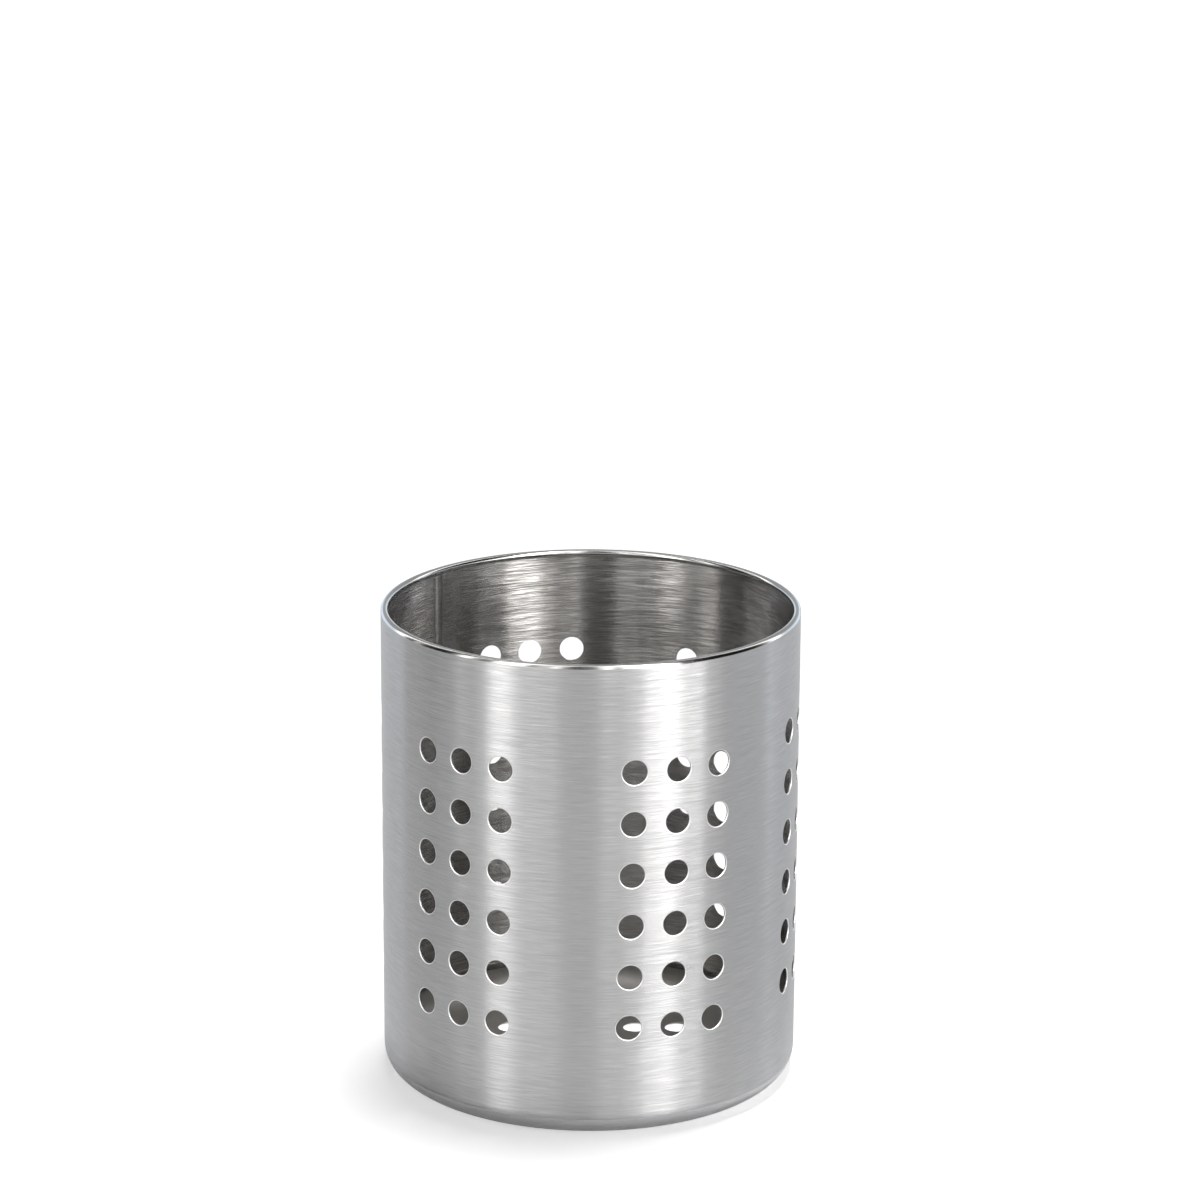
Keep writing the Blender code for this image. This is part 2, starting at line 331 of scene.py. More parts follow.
# Sets grids of hole cells on the marks, and draws in to the reach what lies further out
def makePierceTree():
    tree, given, made = newTree("pierceSheet", {
        "Cell": "Object", "Marks": "Object", "Columns": "Int", "Rows": "Int",
        "Column spacing": "Float", "Row spacing": "Float", "Turn": "Float", "Reach": "Float",
        "Merge distance": "Float", **materialInputs})
    calc, add = partial(compute, tree), partial(addNode, tree)
    width = calc("MULTIPLY", given["Column spacing"], calc("SUBTRACT", given["Columns"], 1.0))
    height = calc("MULTIPLY", given["Row spacing"], calc("SUBTRACT", given["Rows"], 1.0))
    grid = add("GeometryNodeMeshGrid", {
        "Size X": width, "Size Y": height, "Vertices X": given["Columns"], "Vertices Y": given["Rows"]})
    upright = add("GeometryNodeTransform", {
        "Geometry": grid.outputs["Mesh"], "Rotation": (math.radians(90), 0.0, 0.0)})
    cell = add("GeometryNodeObjectInfo", {"Object": given["Cell"]}, transform_space="ORIGINAL")
    marks = add("GeometryNodeObjectInfo", {"Object": given["Marks"]}, transform_space="ORIGINAL")
    group = add("GeometryNodeInstanceOnPoints", {
        "Points": upright.outputs[0], "Instance": cell.outputs["Geometry"]})
    turn = add("ShaderNodeCombineXYZ", {"Y": given["Turn"]})
    groups = add("GeometryNodeInstanceOnPoints", {
        "Points": marks.outputs["Geometry"], "Instance": group.outputs[0], "Rotation": turn.outputs[0]})
    real = add("GeometryNodeRealizeInstances", {"Geometry": groups.outputs[0]})
    position = add("GeometryNodeInputPosition").outputs[0]
    parts = add("ShaderNodeSeparateXYZ", {"Vector": position}).outputs
    across, up = calc("POWER", parts["X"], 2.0), calc("POWER", parts["Z"], 2.0)
    away = calc("SQRT", calc("ADD", across, up))
    shrink = calc("MINIMUM", 1.0, calc("DIVIDE", given["Reach"], away))
    drawn = add("ShaderNodeCombineXYZ", {
        "X": calc("MULTIPLY", parts["X"], shrink), "Y": parts["Y"],
        "Z": calc("MULTIPLY", parts["Z"], shrink)})
    placed = add("GeometryNodeSetPosition", {
        "Geometry": real.outputs[0], "Position": drawn.outputs[0]})
    finishWithMaterials(tree, given, made, joinToSheet(tree, given, placed.outputs[0]))
    return tree


def makeRollTree():
    tree, given, made = newTree("rollSheet", {
        "Marks": "Object", "Radius": "Float", "Bead radius": "Float", "Curl height": "Float",
        "Skew": "Float", "Group half width": "Float", "Group half height": "Float",
        "Fade across": "Float", "Fade up": "Float", "Merge distance": "Float", **materialInputs})
    calc, add = partial(compute, tree), partial(addNode, tree)
    position = add("GeometryNodeInputPosition").outputs[0]
    parts = add("ShaderNodeSeparateXYZ", {"Vector": position}).outputs
    marks = add("GeometryNodeObjectInfo", {"Object": given["Marks"]}, transform_space="ORIGINAL")
    nearest = add("GeometryNodeSampleNearest", {"Geometry": marks.outputs["Geometry"]})
    sampled = add("GeometryNodeSampleIndex", {
        "Geometry": marks.outputs["Geometry"], "Value": position,
        "Index": nearest.outputs[0]}, data_type="FLOAT_VECTOR")
    middle = add("ShaderNodeSeparateXYZ", {"Vector": sampled.outputs[0]}).outputs
    dropped = add("GeometryNodeInputNamedAttribute", {"Name": "drop"}, data_type="FLOAT")
    drop = add("GeometryNodeSampleIndex", {
        "Geometry": marks.outputs["Geometry"], "Value": dropped.outputs[0],
        "Index": nearest.outputs[0]}).outputs[0]

    # The holes of a group sit a little askew or low, which fades out in the plain sheet round it
    across = calc("SUBTRACT", parts["X"], middle["X"])
    up = calc("SUBTRACT", parts["Z"], middle["Z"])
    cosine = calc("COSINE", given["Skew"])
    sine = calc("SINE", given["Skew"])
    farAcross = calc("ADD", given["Group half width"], given["Fade across"])
    farUp = calc("ADD", given["Group half height"], given["Fade up"])
    fadeAcross = ramp(
        tree, calc("ABSOLUTE", across), given["Group half width"], farAcross, 1.0, 0.0, smooth=True)
    fadeUp = ramp(tree, calc("ABSOLUTE", up), given["Group half height"], farUp, 1.0, 0.0, smooth=True)
    fade = calc("MULTIPLY", fadeAcross, fadeUp)
    turnedAcross = calc("MULTIPLY_ADD", across, cosine, calc("MULTIPLY", up, sine))
    turnedUp = calc("SUBTRACT", calc("MULTIPLY", up, cosine), calc("MULTIPLY", across, sine))
    alongShift = calc("MULTIPLY", fade, calc("SUBTRACT", turnedAcross, across))
    upShift = calc("MULTIPLY", fade, calc("SUBTRACT", calc("SUBTRACT", turnedUp, up), drop))
    along = calc("ADD", parts["X"], alongShift)
    height = calc("ADD", parts["Z"], upShift)

    # Above the curl height the sheet goes round the bead, then everything goes round the holder
    over = calc("MAXIMUM", 0.0, calc("SUBTRACT", height, given["Curl height"]))
    curl = calc("DIVIDE", over, given["Bead radius"])
    low = calc("MINIMUM", height, given["Curl height"])
    arm = calc("SUBTRACT", given["Bead radius"], parts["Y"])
    center = calc("SUBTRACT", given["Radius"], given["Bead radius"])
    radial = calc("MULTIPLY_ADD", arm, calc("COSINE", curl), center)
    rise = calc("MULTIPLY_ADD", arm, calc("SINE", curl), low)
    angle = calc("DIVIDE", along, given["Radius"])
    depth = calc("MULTIPLY", radial, calc("COSINE", angle))
    rolled = add("ShaderNodeCombineXYZ", {
        "X": calc("MULTIPLY", radial, calc("SINE", angle)),
        "Y": calc("MULTIPLY", depth, -1.0), "Z": rise})
    placed = add("GeometryNodeSetPosition", {
        "Geometry": given["Sheet"], "Position": rolled.outputs[0]})
    merged = add("GeometryNodeMergeByDistance", {
        "Geometry": placed.outputs[0], "Distance": given["Merge distance"]})
    finishWithMaterials(tree, given, made, merged.outputs[0])
    return tree


def makePressTree():
    tree, given, made = newTree("pressPan", {
        "Flat radius": "Float", "Corner radius": "Float", "Panel radius": "Float",
        "Panel ramp": "Float", "Panel rise": "Float", **materialInputs})
    calc, add = partial(compute, tree), partial(addNode, tree)
    position = add("GeometryNodeInputPosition").outputs[0]
    parts = add("ShaderNodeSeparateXYZ", {"Vector": position}).outputs
    across, up = calc("POWER", parts["X"], 2.0), calc("POWER", parts["Z"], 2.0)
    away = calc("SQRT", calc("ADD", across, up))
    over = calc("MAXIMUM", 0.0, calc("SUBTRACT", away, given["Flat radius"]))
    bend = calc("MINIMUM", calc("DIVIDE", over, given["Corner radius"]), math.pi / 2)
    cornerLength = calc("MULTIPLY", given["Corner radius"], math.pi / 2)
    rim = calc("MAXIMUM", 0.0, calc("SUBTRACT", over, cornerLength))
    arm = calc("SUBTRACT", given["Corner radius"], parts["Y"])
    flat = calc("MINIMUM", away, given["Flat radius"])
    radial = calc("MULTIPLY_ADD", arm, calc("SINE", bend), flat)
    bowl = calc("SUBTRACT", given["Corner radius"], calc("MULTIPLY", arm, calc("COSINE", bend)))
    rampEnd = calc("ADD", given["Panel radius"], given["Panel ramp"])
    panel = ramp(tree, away, given["Panel radius"], rampEnd, given["Panel rise"], 0.0)
    height = calc("ADD", calc("ADD", bowl, rim), panel)
    stretch = calc("DIVIDE", radial, calc("MAXIMUM", away, tiny))
    pressed = add("ShaderNodeCombineXYZ", {
        "X": calc("MULTIPLY", parts["X"], stretch),
        "Y": calc("MULTIPLY", parts["Z"], calc("MULTIPLY", stretch, -1.0)),
        "Z": height})
    placed = add("GeometryNodeSetPosition", {
        "Geometry": given["Sheet"], "Position": pressed.outputs[0]})
    finishWithMaterials(tree, given, made, placed.outputs[0])
    return tree


def makeStackTree():
    tree, given, made = newTree("stackRipples", {
        "Ripple": "Object", "Count": "Int", "First": "Vector", "Step": "Vector", "Merge distance": "Float",
        **materialInputs})
    add = partial(addNode, tree)
    line = add("GeometryNodeMeshLine", {
        "Count": given["Count"], "Start Location": given["First"], "Offset": given["Step"]})
    ripple = add("GeometryNodeObjectInfo", {"Object": given["Ripple"]}, transform_space="ORIGINAL")
    stack = add("GeometryNodeInstanceOnPoints", {
        "Points": line.outputs[0], "Instance": ripple.outputs["Geometry"]})
    real = add("GeometryNodeRealizeInstances", {"Geometry": stack.outputs[0]})
    finishWithMaterials(tree, given, made, joinToSheet(tree, given, real.outputs[0]))
    return tree


pierceSheet, rollSheet = makePierceTree(), makeRollTree()
pressPan, stackRipples = makePressTree(), makeStackTree()


def materialsFor(outside, inside, edge, accent):
    return {"Outside material": outside, "Inside material": inside,
            "Edge material": edge, "Accent material": accent}


def applyTree(piece, tree, values):
    modifier = piece.modifiers.new(tree.name, "NODES")
    modifier.node_group = tree
    for socket in tree.interface.items_tree:
        if socket.in_out == "INPUT" and socket.name in values:
            modifier[socket.identifier] = values[socket.name]


def settle(piece):
    graph = bpy.context.evaluated_depsgraph_get()
    mesh = bpy.data.meshes.new_from_object(piece.evaluated_get(graph))
    piece.modifiers.clear()
    old = piece.data
    piece.data = mesh
    mesh.name = piece.name
    bpy.data.meshes.remove(old)
    mesh.shade_smooth()


def meshPiece(name, corners, faces, finishes):
    mesh = bpy.data.meshes.new(name)
    mesh.from_pydata(corners, [], faces)
    finish = mesh.attributes.new("finish", "INT", "FACE")
    finish.data.foreach_set("value", finishes)
    piece = bpy.data.objects.new(name, mesh)
    scene.collection.objects.link(piece)
    return piece


def dropHelpers(*helpers):
    for helper in helpers:
        bpy.data.objects.remove(helper, do_unlink=True)


firstCorner = math.radians(225)        # where a ring starts, in line with its rectangle's lower left


# Corners round a hole's rectangle, from its lower left, as seen from outside
def holeBorder(width, height, acrossSegments, upSegments):
    border = []
    for step in range(acrossSegments):
        border.append((-width / 2 + width * step / acrossSegments, -height / 2))
    for step in range(upSegments):
        border.append((width / 2, -height / 2 + height * step / upSegments))
    for step in range(acrossSegments):
        border.append((width / 2 - width * step / acrossSegments, height / 2))
    for step in range(upSegments):
        border.append((-width / 2, height / 2 - height * step / upSegments))
    return border


# One hole in its rectangle of sheet, with a rounded, polished edge outside
def holeCell(name, width, height, values):
    segments = values["sideSegments"]
    sheet = holderValues["sheet"]
    around = 4 * segments
    radius = values["holeRadius"]
    rings = []
    for step in range(values["edgeSteps"] + 1):
        angle = math.pi / 2 * step / values["edgeSteps"]
        rings.append((radius + values["edgeWidth"] * (1 - math.sin(angle)),
                      values["edgeDepth"] * (1 - math.cos(angle))))
    rings.append((radius, sheet - values["burr"]))
    rings.append((radius + values["burr"], sheet))
    border = holeBorder(width, height, segments, segments)
    corners = [(x, 0.0, z) for x, z in border]
    for ring, depth in rings:
        for step in range(around):
            angle = firstCorner + 2 * math.pi * step / around
            corners.append((ring * math.cos(angle), depth, ring * math.sin(angle)))
    corners += [(x, sheet, z) for x, z in border]
    faces, finishes = [], []
    bands = len(rings) + 1
    for band in range(bands):
        for step in range(around):
            after = (step + 1) % around
            low, high = band * around, (band + 1) * around
            faces.append((low + step, low + after, high + after, high + step))
            if band in (0, bands - 1):
                finishes.append(insideFinish if band else outsideFinish)
            else:
                finishes.append(edgeFinish if band <= values["edgeSteps"] else cutFinish)
    return meshPiece(name, corners, faces, finishes)


# Gives the plain faces the true normals of the shape that they approximate
def exactNormals(piece, normalAt, outsideFinishes):
    mesh = piece.data
    mesh.set_sharp_from_angle(angle=math.radians(holderValues["creaseAngle"]))
    count = len(mesh.vertices)
    points = np.empty(count * 3)
    mesh.vertices.foreach_get("co", points)
    normals = normalAt(points.reshape(-1, 3))
    finishes = np.empty(len(mesh.polygons), int)
    mesh.attributes["finish"].data.foreach_get("value", finishes)
    loopCounts = np.empty(len(mesh.polygons), int)
    mesh.polygons.foreach_get("loop_total", loopCounts)
    loopFinish = np.repeat(finishes, loopCounts)
    loopVertex = np.empty(len(mesh.loops), int)
    mesh.loops.foreach_get("vertex_index", loopVertex)
    side = np.zeros(count)
    side[loopVertex[np.isin(loopFinish, outsideFinishes)]] = 1
    side[loopVertex[loopFinish == insideFinish]] = -1
    loopNormals = normals[loopVertex] * side[loopVertex][:, None]
    loopNormals[loopFinish == cutFinish] = 0
    mesh.normals_split_custom_set(loopNormals.tolist())


# The wall: a pierced sheet, rolled into a tube, with its top edge curled inward

wallValues = {
    "groupAngles": (-99.5, -37.3, 23.6, 81.8, 138.1, 197.2), "groupDrops": (0.0, 0.0, 0.0, 0.0, 0.0008, 0.0),
    "columns": 3, "rows": 6, "columnSpacing": 0.0129, "rowSpacing": 0.0150,
    "lowestHole": 0.0327, "skew": 1.0, "fadeAcross": 0.008, "fadeUp": 0.011,
    "holeRadius": 0.0036, "edgeWidth": 0.00027, "edgeDepth": 0.00018, "edgeSteps": 3, "burr": 0.00005,
    "sideSegments": 6, "gapSegments": 8, "endSegments": 6, "footSegments": 7, "topSegments": 8,
    "curlSegments": 22, "seamHalfWidth": 0.0006,
}
groupHalfWidth = wallValues["columns"] * wallValues["columnSpacing"] / 2
groupHalfHeight = wallValues["rows"] * wallValues["rowSpacing"] / 2
groupMiddle = wallValues["lowestHole"] - wallValues["rowSpacing"] / 2 + groupHalfHeight
groupPlaces = [holderValues["outerRadius"] * math.radians(angle) for angle in wallValues["groupAngles"]]
curlHeight = holderValues["topHeight"] - holderValues["beadRadius"]


# Places along a line, from a start and then runs of an end and a count of equal steps
def stations(*runs):
    places = [runs[0]]
    for end, count in runs[1:]:
        start = places[-1]
        places += [start + (end - start) * step / count for step in range(1, count + 1)]
    return places


# The lines that divide the flat wall into cells: along it, from seam to seam, and up it
def wallLines(values):
    radius = holderValues["outerRadius"]
    seam = radius * math.radians(holderValues["seamAngle"])
    turnLength = 2 * math.pi * radius
    seamEdge = values["seamHalfWidth"] + holderValues["seamGap"]
    runs = [(seam + seamEdge, 1)]
    for index, middle in enumerate(groupPlaces):
        segments = values["endSegments"] if index == 0 else values["gapSegments"]
        runs.append((middle - groupHalfWidth, segments))
        runs.append((middle + groupHalfWidth, values["columns"] * values["sideSegments"]))
    runs += [(seam + turnLength - seamEdge, values["endSegments"]), (seam + turnLength, 1)]
    curlLength = holderValues["beadRadius"] * math.radians(holderValues["curlAngle"])
    heights = stations(
        holderValues["footHeight"], (groupMiddle - groupHalfHeight, values["footSegments"]),
        (groupMiddle + groupHalfHeight, values["rows"] * values["sideSegments"]),
        (slotTop, values["topSegments"]), (curlHeight, 1),
        (curlHeight + curlLength, values["curlSegments"]))
    return stations(seam, *runs), heights


# The flat wall in cells of sheet, open where the hole groups and the slot for the side weld are
def wallBlank(values):
    sheet = holderValues["sheet"]
    alongs, heights = wallLines(values)
    columns, rows = len(alongs) - 1, len(heights) - 1
    groupLow, groupHigh = groupMiddle - groupHalfHeight, groupMiddle + groupHalfHeight

    def kindOf(column, row):
        if not (0 <= column < columns and 0 <= row < rows):
            return "none"
        x = (alongs[column] + alongs[column + 1]) / 2
        z = (heights[row] + heights[row + 1]) / 2
        if column in (0, columns - 1) and z < slotTop:
            return "none"
        if groupLow < z < groupHigh and any(abs(x - middle) < groupHalfWidth for middle in groupPlaces):
            return "hole"
        return "sheet"

    corners, numbers, faces, finishes = [], {}, [], []

    def corner(column, row, depth):
        key = (column, row, depth)
        if key not in numbers:
            numbers[key] = len(corners)
            corners.append((alongs[column], sheet * depth, heights[row]))
        return numbers[key]

    def face(places, finish):
        faces.append([corner(*place) for place in places])
        finishes.append(finish)

    for column in range(columns):
        for row in range(rows):
            if kindOf(column, row) != "sheet":
                continue
            left, right, low, high = column, column + 1, row, row + 1
            isLip = heights[row] > curlHeight - holderValues["mergeDistance"]
            face(((left, low, 0), (right, low, 0), (right, high, 0), (left, high, 0)),
                 accentFinish if isLip else outsideFinish)
            face(((left, high, 1), (right, high, 1), (right, low, 1), (left, low, 1)),
                 accentFinish if isLip else insideFinish)
            if kindOf(column, row - 1) == "none":
                face(((right, low, 0), (left, low, 0), (left, low, 1), (right, low, 1)), cutFinish)
            if kindOf(column, row + 1) == "none":
                face(((left, high, 0), (right, high, 0), (right, high, 1), (left, high, 1)), cutFinish)
            if kindOf(column - 1, row) == "none" and column > 0:
                face(((left, low, 0), (left, high, 0), (left, high, 1), (left, low, 1)), cutFinish)
            if kindOf(column + 1, row) == "none" and column < columns - 1:
                face(((right, high, 0), (right, low, 0), (right, low, 1), (right, high, 1)), cutFinish)

    return meshPiece("piercedWall", corners, faces, finishes)


def roundNormals(points):
    normals = points * (1.0, 1.0, 0.0)
    return normals / np.linalg.norm(normals, axis=1)[:, None]


def makeWall(values):
    wall = wallBlank(values)
    cell = holeCell("wallHole", values["columnSpacing"], values["rowSpacing"], values)
    marks = meshPiece("groupMarks", [(middle, 0.0, groupMiddle) for middle in groupPlaces], [], [])
    marks.data.attributes.new("drop", "FLOAT", "POINT").data.foreach_set("value", values["groupDrops"])
    steels = materialsFor(brushedSteel, innerSteel, edgeSteel, lipSteel)
    applyTree(wall, pierceSheet, {
        "Cell": cell, "Marks": marks, "Columns": values["columns"], "Rows": values["rows"],
        "Column spacing": values["columnSpacing"], "Row spacing": values["rowSpacing"],
        "Turn": 0.0, "Reach": 1.0, "Merge distance": holderValues["mergeDistance"], **steels})
    applyTree(wall, rollSheet, {
        "Marks": marks, "Radius": holderValues["outerRadius"], "Bead radius": holderValues["beadRadius"],
        "Curl height": curlHeight, "Skew": math.radians(values["skew"]),
        "Group half width": groupHalfWidth, "Group half height": groupHalfHeight,
        "Fade across": values["fadeAcross"], "Fade up": values["fadeUp"],
        "Merge distance": holderValues["mergeDistance"], **steels})
    settle(wall)
    dropHelpers(cell, marks)
    exactNormals(wall, roundNormals, [outsideFinish])
    return wall


wall = makeWall(wallValues)
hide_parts("perforated_wall")
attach(wall, "root")
print("wall pierced and rolled:", len(wall.data.polygons), "faces")


# Welds: one ripple of weld metal, stacked up the seam and round the foot of the wall

weldSteels = materialsFor(brushedSteel, weldSteel, edgeSteel, edgeSteel)
sideWeldValues = {
    "stemHalfWidth": 0.0006, "capHalfWidth": 0.0017, "capHeight": 0.0004, "capSteps": 8,
    "pitch": 0.0007, "crescent": 0.0006, "rippleShares": (0.0, 0.7, 1.0, 0.9, 0.0), "rippleHeight": 0.00014,
}


# Outline across a weld: a stem flush with the outside and a rounded cap inside
def weldSection(values):
    sheet = holderValues["sheet"] + holderValues["seamGap"]
    stem, cap = values["stemHalfWidth"], values["capHalfWidth"]
    outline = [(-stem, sheet, 0.0), (-stem, 0.0, 0.0), (stem, 0.0, 0.0), (stem, sheet, 0.0)]
    for step in range(values["capSteps"] + 1):
        angle = math.pi * step / values["capSteps"]
        outline.append((cap * math.cos(angle), sheet + values["capHeight"] * math.sin(angle),
                        math.sin(angle)))
    return outline


# One ripple of weld metal; placeAt turns across, inward and along into a place in the flat sheet
def rippleMesh(values, placeAt):
    outline = weldSection(values)
    shares = values["rippleShares"]
    cap = values["capHalfWidth"]
    corners, faces, finishes = [], [], []
    for index, share in enumerate(shares):
        for across, inward, lift in outline:
            onCap = inward > holderValues["sheet"]
            droop = values["crescent"] * (across / cap) ** 2 if onCap and lift >= 0 else 0.0
            if abs(across) <= values["stemHalfWidth"] + tiny and lift == 0.0:
                droop = 0.0
            along = values["pitch"] * index / (len(shares) - 1) - droop
            corners.append(placeAt(across, inward + values["rippleHeight"] * share * lift, along))
    around = len(outline)
    for index in range(len(shares) - 1):
        for step in range(around):
            after = (step + 1) % around
            low, high = index * around, (index + 1) * around
            faces.append((low + step, low + after, high + after, high + step))
            isOutside = outline[step][1] == 0.0 and outline[after][1] == 0.0
            finishes.append(outsideFinish if isOutside else insideFinish)
    return corners, faces, finishes


# A weld has no hole groups, so its fades are wide, with no skew, and it is only rolled
def rollWeld(weld):
    applyTree(weld, rollSheet, {
        "Marks": weldMark, "Radius": holderValues["outerRadius"], "Bead radius": holderValues["beadRadius"],
        "Curl height": holderValues["topHeight"], "Skew": 0.0, "Group half width": 1.0,
        "Group half height": 1.0, "Fade across": 1.0, "Fade up": 1.0,
        "Merge distance": holderValues["mergeDistance"] / 2, **weldSteels})
    settle(weld)
    weld.data.set_sharp_from_angle(angle=math.radians(holderValues["weldCreaseAngle"]))


def makeSideWeld(values):
    bottom = holderValues["footHeight"]
    top = slotTop - holderValues["seamGap"]
    count = round((top - bottom) / values["pitch"])
    values = dict(values, pitch=(top - bottom) / count)
    seam = holderValues["outerRadius"] * math.radians(holderValues["seamAngle"])

    def upright(across, inward, along):
        return (seam + across, inward, bottom + along)

    corners, faces, finishes = rippleMesh(values, upright)
    ripple = meshPiece("sideRipple", corners, faces, finishes)
    around = len(weldSection(values))
    lowEnd = corners[:around]
    highEnd = [(x, y, z + (count - 1) * values["pitch"]) for x, y, z in corners[-around:]]
    ends = [tuple(reversed(range(around))), tuple(range(around, 2 * around))]
    weld = meshPiece("seamWeld", lowEnd + highEnd, ends, [insideFinish] * 2)
    applyTree(weld, stackRipples, {
        "Ripple": ripple, "Count": count, "First": (0.0, 0.0, 0.0), "Step": (0.0, 0.0, values["pitch"]),
        "Merge distance": holderValues["mergeDistance"] / 2, **weldSteels})
    rollWeld(weld)
    dropHelpers(ripple)
    return weld


weldMark = meshPiece("weldMark", [(0.0, 0.0, 0.0)], [], [])
seamWeld = makeSideWeld(sideWeldValues)
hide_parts("side_weld")
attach(seamWeld, "root")

baseWeldValues = {
    "capSteps": 6, "capHalfWidth": 0.0011, "capHeight": 0.0004,
    "pitch": 0.0012, "crescent": 0.0004, "rippleShares": (0.0, 0.8, 1.0, 0.0), "rippleHeight": 0.0001,
}


def makeBaseWeld(values):
    low = holderValues["rimHeight"] + holderValues["seamGap"]
    high = holderValues["footHeight"] - holderValues["seamGap"]
    middle = (low + high) / 2
    turnLength = 2 * math.pi * holderValues["outerRadius"]
    count = round(turnLength / values["pitch"])
    values = dict(values, pitch=turnLength / count, stemHalfWidth=(high - low) / 2)

    def level(across, inward, along):
        return (along, inward, middle - across)

    corners, faces, finishes = rippleMesh(values, level)
    ripple = meshPiece("baseRipple", corners, faces, finishes)
    weld = meshPiece("footWeld", [], [], [])
    applyTree(weld, stackRipples, {
        "Ripple": ripple, "Count": count, "First": (0.0, 0.0, 0.0), "Step": (values["pitch"], 0.0, 0.0),
        "Merge distance": holderValues["mergeDistance"] / 2, **weldSteels})
    rollWeld(weld)
    dropHelpers(ripple)
    return weld


footWeld = makeBaseWeld(baseWeldValues)
dropHelpers(weldMark)
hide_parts("base_weld")
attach(footWeld, "root")
print("welds stacked:", len(seamWeld.data.polygons), len(footWeld.data.polygons), "faces")


# Base pan: a pierced blank, pressed to a raised panel, a standing ring and a rounded corner

panValues = {
    "cornerRadius": 0.0070, "standingRing": 0.0080, "panelRamp": 0.0020, "panelRise": 0.0004,
    "columns": 5, "rows": 4, "columnSpacing": 0.01245, "rowSpacing": 0.0150, "shift": 0.0015, "turn": 0.5,
    "holeRadius": 0.0036, "edgeWidth": 0.00030, "edgeDepth": 0.00018, "edgeSteps": 3, "burr": 0.00005,
    "sideSegments": 6, "panelSteps": 3, "ringSteps": 3, "cornerSteps": 10, "panelMargin": 0.0003,
    "rampMargin": 0.0001, "brushedBands": 2, "brushedFrom": 0.0056,        # the brushing reaches down to here
}
flatRadius = holderValues["outerRadius"] - panValues["cornerRadius"]
panelRadius = flatRadius - panValues["standingRing"] - panValues["panelRamp"]
panelReach = panelRadius - panValues["panelMargin"]


# Rings of places on the flat pan: round the rectangle of drain holes, then circles out to the rim
def panRings(values):
    cornerEnd = flatRadius + values["cornerRadius"] * math.pi / 2
    blankRadius = cornerEnd + holderValues["rimHeight"] - values["cornerRadius"]
    width, height = values["columns"] * values["columnSpacing"], values["rows"] * values["rowSpacing"]
    sides = values["columns"] * values["sideSegments"], values["rows"] * values["sideSegments"]
    turn = Matrix.Rotation(math.radians(values["turn"]), 2)
    border = []
    for x, z in holeBorder(width, height, *sides):
        place = Vector((x, z)) @ turn + Vector((values["shift"], 0.0))
        border.append(place * min(1.0, panelReach / place.length))
    circle = []
    for step in range(len(border)):
        angle = firstCorner + 2 * math.pi * step / len(border)
        circle.append(Vector((math.cos(angle), math.sin(angle))))
    brushedBend = math.acos(1 - values["brushedFrom"] / values["cornerRadius"])
    brushedRadius = flatRadius + values["cornerRadius"] * brushedBend
    radii = stations(
        panelRadius + values["panelRamp"], (flatRadius, values["ringSteps"]),
        (brushedRadius, values["cornerSteps"]), (cornerEnd, 1), (blankRadius, 1))
    rings = [border]
    for step in range(1, values["panelSteps"] + 1):
        share = step / values["panelSteps"]
        rings.append([near.lerp(way * panelRadius, share) for near, way in zip(border, circle)])
    return rings + [[way * radius for way in circle] for radius in radii]


# The flat pan, open where the drain holes are, with its outside brushed near the rim
def panBlank(values):
    sheet = holderValues["sheet"]
    rings = panRings(values)
    around = len(rings[0])
    corners = [(place.x, 0.0, place.y) for ring in rings for place in ring]
    layer = len(corners)
    corners += [(x, sheet, z) for x, y, z in corners]
    faces, finishes = [], []
    firstBrushed = len(rings) - 1 - values["brushedBands"]
    for ring in range(len(rings) - 1):
        for step in range(around):
            after = (step + 1) % around
            near, far = ring * around, (ring + 1) * around
            under = (far + step, far + after, near + after, near + step)
            faces.append(under)
            finishes.append(accentFinish if ring < firstBrushed else outsideFinish)
            faces.append(tuple(layer + number for number in reversed(under)))
            finishes.append(insideFinish)
    last = (len(rings) - 1) * around
    for step in range(around):
        after = (step + 1) % around
        faces.append((last + after, last + step, layer + last + step, layer + last + after))
        finishes.append(cutFinish)

    return meshPiece("pressedPan", corners, faces, finishes)


def pressedNormals(points):
    away = np.linalg.norm(points[:, :2], axis=1)
    radial = points[:, :2] / np.maximum(away, tiny)[:, None]
    outward = np.clip(away - flatRadius, 0, None)
    downward = np.clip(panValues["cornerRadius"] - points[:, 2], 0, None)
    downward[outward == 0] = 1
    length = np.hypot(outward, downward)
    normals = np.column_stack((radial * (outward / length)[:, None], -downward / length))
    onRamp = away > panelRadius - panValues["rampMargin"]
    onRamp &= away < panelRadius + panValues["panelRamp"] + panValues["rampMargin"]
    normals[onRamp] = 0
    return normals


def makePan(values):
    pan = panBlank(values)
    cell = holeCell("drainHole", values["columnSpacing"], values["rowSpacing"], values)
    marks = meshPiece("drainMark", [(values["shift"], 0.0, 0.0)], [], [])
    steels = materialsFor(brushedSteel, panSteel, edgeSteel, cornerSteel)
    applyTree(pan, pierceSheet, {
        "Cell": cell, "Marks": marks, "Columns": values["columns"], "Rows": values["rows"],
        "Column spacing": values["columnSpacing"], "Row spacing": values["rowSpacing"],
        "Turn": math.radians(values["turn"]), "Reach": panelReach,
        "Merge distance": holderValues["mergeDistance"], **steels})
    applyTree(pan, pressPan, {
        "Flat radius": flatRadius, "Corner radius": values["cornerRadius"],
        "Panel radius": panelRadius, "Panel ramp": values["panelRamp"], "Panel rise": values["panelRise"],
        **steels})
    settle(pan)
    dropHelpers(cell, marks)
    exactNormals(pan, pressedNormals, [outsideFinish, accentFinish])
    return pan


pan = makePan(panValues)
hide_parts("base_pan")
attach(pan, "root")
print("pan pierced and pressed:", len(pan.data.polygons), "faces")


# Camera

